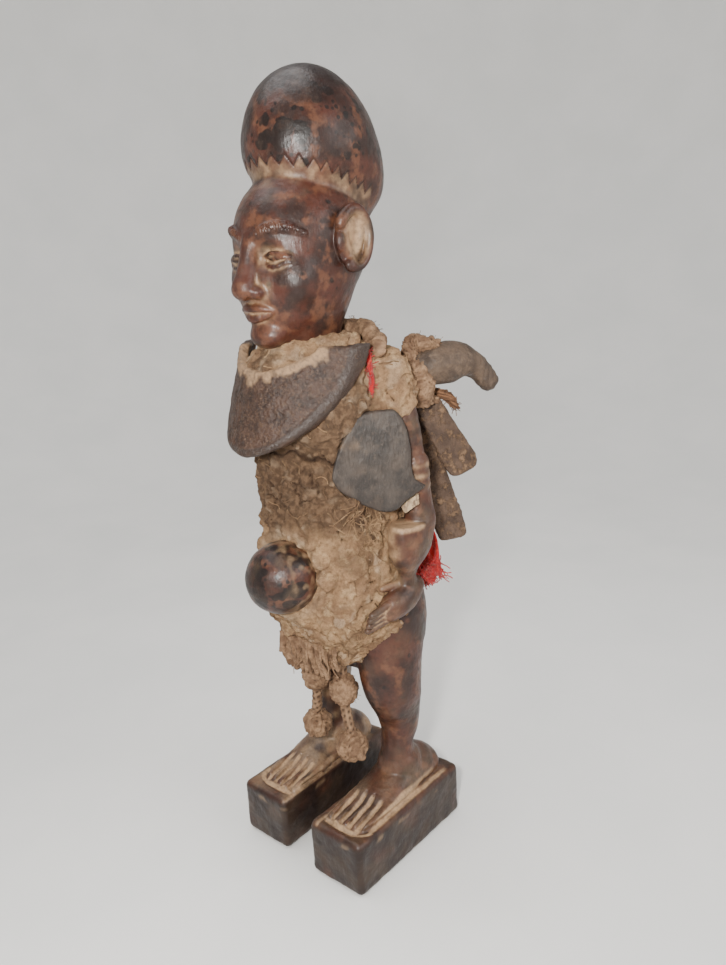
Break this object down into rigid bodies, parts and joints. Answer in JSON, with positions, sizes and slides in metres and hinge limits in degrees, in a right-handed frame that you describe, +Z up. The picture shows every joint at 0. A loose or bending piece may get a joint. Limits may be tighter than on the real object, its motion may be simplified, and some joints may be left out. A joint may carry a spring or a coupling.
{
  "type": "carved power figure",
  "caption": "Standing carved wooden figure on foot blocks, wrapped in a clay charge with a belly cap, bib collar, lashed horn and blades, and hanging strands.",
  "frame": {"origin": "middle of the bounding box's floor, on the surface that the foot blocks stand on", "axes": "+Z up, the figure faces -Y, the figure's left hand is at +X"},
  "size_m": [0.116, 0.1332, 0.42],
  "materials": {
    "patinated_wood": "glossy handled wood with dark spots",
    "dark_wood": "dark polished wood with a dusty crust",
    "hide": "stiff dark hide, rubbed smooth",
    "horn": "matte grey-brown horn",
    "blade_wood": "matte weathered wood with a crusted surface",
    "clay": "dry lumpy clay with fibres and cracks",
    "packed_charge": "packed earth and resin, out of sight",
    "pale_chip": "bare pale wood",
    "crusted_cloth": "twisted cloth caked with clay",
    "red_cloth": "frayed red cloth",
    "twine": "brown plant twine"
  },
  "bodies": {
    "figure": {"carved_figure": "patinated_wood", "belly_dome": "patinated_wood", "belly_charge": "packed_charge", "collar_bib": "dark_wood", "chest_plate": "hide", "plate_chip": "pale_chip", "curved_horn": "horn", "horn_wrap": "crusted_cloth", "horn_knot": "crusted_cloth", "twine_scrap": "twine", "nape_cloth": "crusted_cloth", "red_cloth_strip": "red_cloth", "red_cloth_tuft": "red_cloth", "apron_fibres": "crusted_cloth", "clay_crust": "clay"},
    "right_strand": {"right_bundle": "crusted_cloth", "right_cord": "crusted_cloth"},
    "right_pendant": {"right_ball": "crusted_cloth", "right_neck_cord": "crusted_cloth"},
    "left_strand": {"left_bundle": "crusted_cloth", "left_cord": "crusted_cloth"},
    "left_pendant": {"left_ball": "crusted_cloth", "left_neck_cord": "crusted_cloth"},
    "upper_blade": {"upper_blade": "blade_wood"},
    "lower_blade": {"lower_blade": "blade_wood"}
  },
  "joints": [
    {"name": "right_strand_swing", "type": "hinge", "parent": "figure", "child": "right_strand", "pos_m": [-0.01635, -0.01787, 0.1193], "axis": [-1, 0, 0], "range_deg": [-3, 17]},
    {"name": "right_ball_swing", "type": "hinge", "parent": "right_strand", "child": "right_pendant", "pos_m": [-0.01675, -0.01787, 0.09015], "axis": [-1, 0, 0], "range_deg": [-5, 13]},
    {"name": "left_strand_swing", "type": "hinge", "parent": "figure", "child": "left_strand", "pos_m": [0.00305, -0.01787, 0.1193], "axis": [-1, 0, 0], "range_deg": [-3, 17]},
    {"name": "left_ball_swing", "type": "hinge", "parent": "left_strand", "child": "left_pendant", "pos_m": [0.00465, -0.01787, 0.08765], "axis": [-1, 0, 0], "range_deg": [-5, 13]},
    {"name": "upper_blade_swing", "type": "hinge", "parent": "figure", "child": "upper_blade", "pos_m": [0.02868, 0.03954, 0.25043], "axis": [0.767, -0.6415, -0.0106], "range_deg": [0, 5]},
    {"name": "lower_blade_swing", "type": "hinge", "parent": "figure", "child": "lower_blade", "pos_m": [0.0161, 0.0417, 0.24813], "axis": [0.7063, -0.7059, 0.0527], "range_deg": [-5, 0]}
  ]
}
